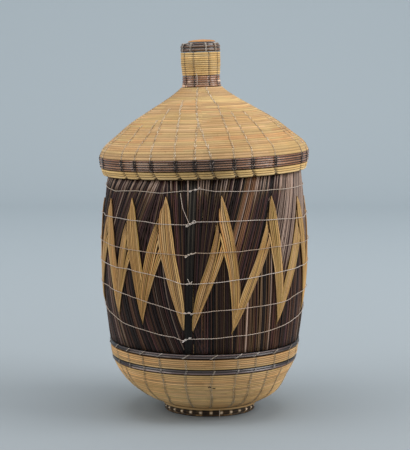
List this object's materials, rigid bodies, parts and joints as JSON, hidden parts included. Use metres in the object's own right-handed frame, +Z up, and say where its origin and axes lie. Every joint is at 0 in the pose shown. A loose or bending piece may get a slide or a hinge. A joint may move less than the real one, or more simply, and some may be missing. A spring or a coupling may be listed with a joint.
{
  "type": "lidded basket",
  "caption": "Coiled straw basket with a rounded bowl base, a barrel wall of dark rods with an interlaced golden zigzag, and a lift-off conical lid with a knob.",
  "frame": {"origin": "the basket's axis at its foot ring's underside, on the surface the basket stands on", "axes": "+Z up along the basket, -Y towards the viewer of the picture, +X to the viewer's right"},
  "size_m": [0.1494, 0.1494, 0.2612],
  "materials": {
    "natural_straw": "satin natural straw, sewn in fine coils",
    "golden_rods": "satin golden straw rods",
    "dark_rods": "satin dark brown dyed rods",
    "dark_coils": "dark brown dyed coils",
    "grey_rods": "dark grey-green rods",
    "tie_thread": "matt twisted fibre thread"
  },
  "bodies": {
    "basket": {"foot_ring": "natural_straw", "bowl_wall": "natural_straw", "lower_dark_ring": "dark_coils", "bowl_upper_band": "natural_straw", "upper_dark_ring": "dark_coils", "inner_wall": "natural_straw", "mouth_rim": "natural_straw", "dark_rods": "dark_rods", "seam_rods": "grey_rods", "gold_band_01": "golden_rods", "gold_band_02": "golden_rods", "gold_band_03": "golden_rods", "gold_band_04": "golden_rods", "gold_band_05": "golden_rods", "gold_band_06": "golden_rods", "gold_band_07": "golden_rods", "gold_band_08": "golden_rods", "gold_band_09": "golden_rods", "gold_band_10": "golden_rods", "gold_band_11": "golden_rods", "gold_band_12": "golden_rods", "gold_band_13": "golden_rods", "gold_band_14": "golden_rods", "gold_band_15": "golden_rods", "gold_band_16": "golden_rods", "gold_band_17": "golden_rods", "gold_band_18": "golden_rods", "gold_band_19": "golden_rods", "gold_band_20": "golden_rods", "gold_band_21": "golden_rods", "gold_band_22": "golden_rods", "gold_band_23": "golden_rods", "gold_band_24": "golden_rods", "gold_band_25": "golden_rods", "gold_band_26": "golden_rods", "gold_band_27": "golden_rods", "gold_band_28": "golden_rods", "tie_thread_1": "tie_thread", "tie_thread_2": "tie_thread", "tie_thread_3": "tie_thread", "tie_thread_4": "tie_thread", "tie_thread_5": "tie_thread", "tie_thread_6": "tie_thread"},
    "lid": {"lid_rim": "natural_straw", "lid_dark_band": "dark_coils", "lid_cone": "natural_straw", "knob_base_band": "dark_coils", "knob_sleeve": "natural_straw", "knob_top_band": "dark_coils", "knob_cap": "natural_straw"}
  },
  "joints": [
    {"name": "lid_lift", "type": "slide", "parent": "basket", "child": "lid", "axis": [-0.0349, 0, 0.9994], "range_m": [0, 0.12]}
  ]
}
